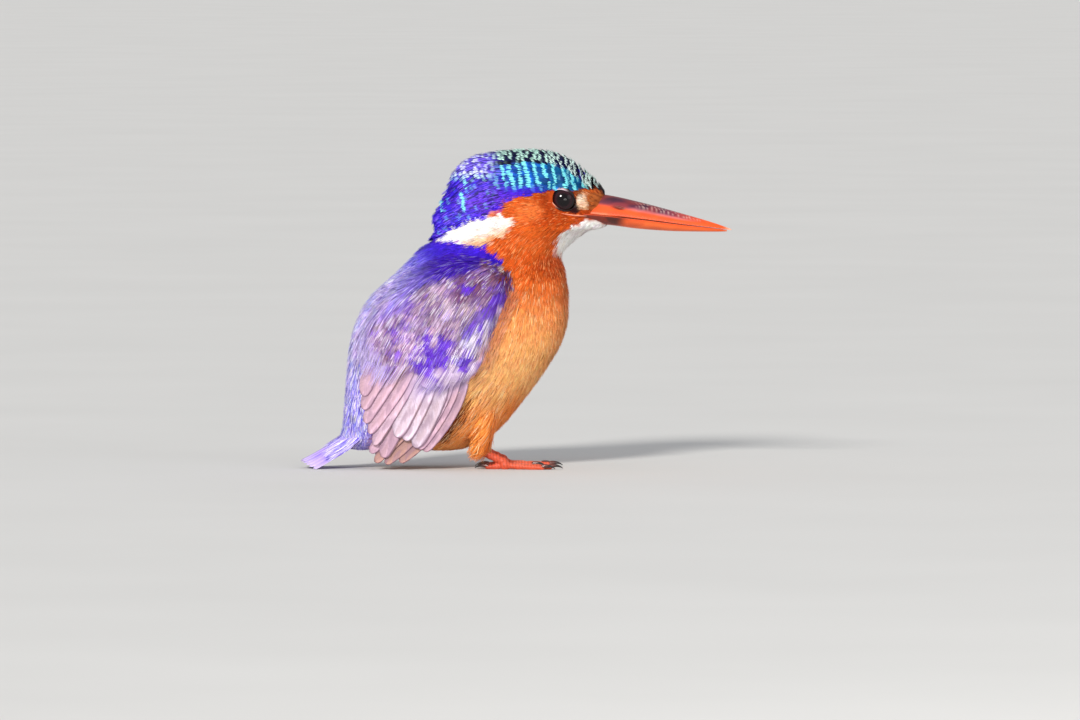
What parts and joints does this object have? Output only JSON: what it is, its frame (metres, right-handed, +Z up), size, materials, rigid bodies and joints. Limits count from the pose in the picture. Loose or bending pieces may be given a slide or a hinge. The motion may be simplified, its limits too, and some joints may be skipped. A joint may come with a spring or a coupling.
{
  "type": "malachite kingfisher",
  "caption": "Still life-size model of a perched kingfisher with a dagger bill, a barred crest, folded wings and a short tail, resting on its feet and tail tip.",
  "frame": {"origin": "on the floor, midway between the tip of the bill and the tip of the tail, on the bird's plane of symmetry", "axes": "+X towards the tip of the bill, +Y towards the bird's left, +Z up"},
  "size_m": [0.1076, 0.0346, 0.08],
  "materials": {
    "crest_feathers": "ultramarine feathers barred with black and turquoise",
    "rufous_feathers": "soft rufous-orange body feathers with a white throat and neck patch",
    "blue_feathers": "blue-violet back feathers with a silky sheen",
    "wing_feathers": "mauve wing coverts with violet patches",
    "flight_feathers": "lilac-grey flight feathers with thin dark edges",
    "tail_feathers": "lavender-blue tail feathers",
    "bill_horn": "smooth coral-red horn, dark along the culmen",
    "eye": "wet black-brown eye",
    "foot_skin": "scaled coral-red skin",
    "claw": "dark brown horn"
  },
  "bodies": {
    "root": {"crest": "crest_feathers", "head": "rufous_feathers", "neck": "rufous_feathers", "trunk": "rufous_feathers", "rump": "blue_feathers", "bill_upper": "bill_horn", "bill_lower": "bill_horn", "tail": "tail_feathers", "undertail_coverts": "rufous_feathers", "eye_right": "eye", "eye_left": "eye", "scapulars_right": "blue_feathers", "scapulars_left": "blue_feathers", "wing_coverts_right": "wing_feathers", "wing_coverts_left": "wing_feathers", "wing_secondaries_right": "flight_feathers", "wing_secondaries_left": "flight_feathers", "wing_primaries_right": "flight_feathers", "wing_primaries_left": "flight_feathers", "thigh_right": "rufous_feathers", "thigh_left": "rufous_feathers", "tarsus_right": "foot_skin", "tarsus_left": "foot_skin", "foot_right": "foot_skin", "foot_left": "foot_skin", "claw_inner_right": "claw", "claw_inner_left": "claw", "claw_middle_right": "claw", "claw_middle_left": "claw", "claw_outer_right": "claw", "claw_outer_left": "claw", "claw_hind_right": "claw", "claw_hind_left": "claw"}
  },
  "joints": []
}
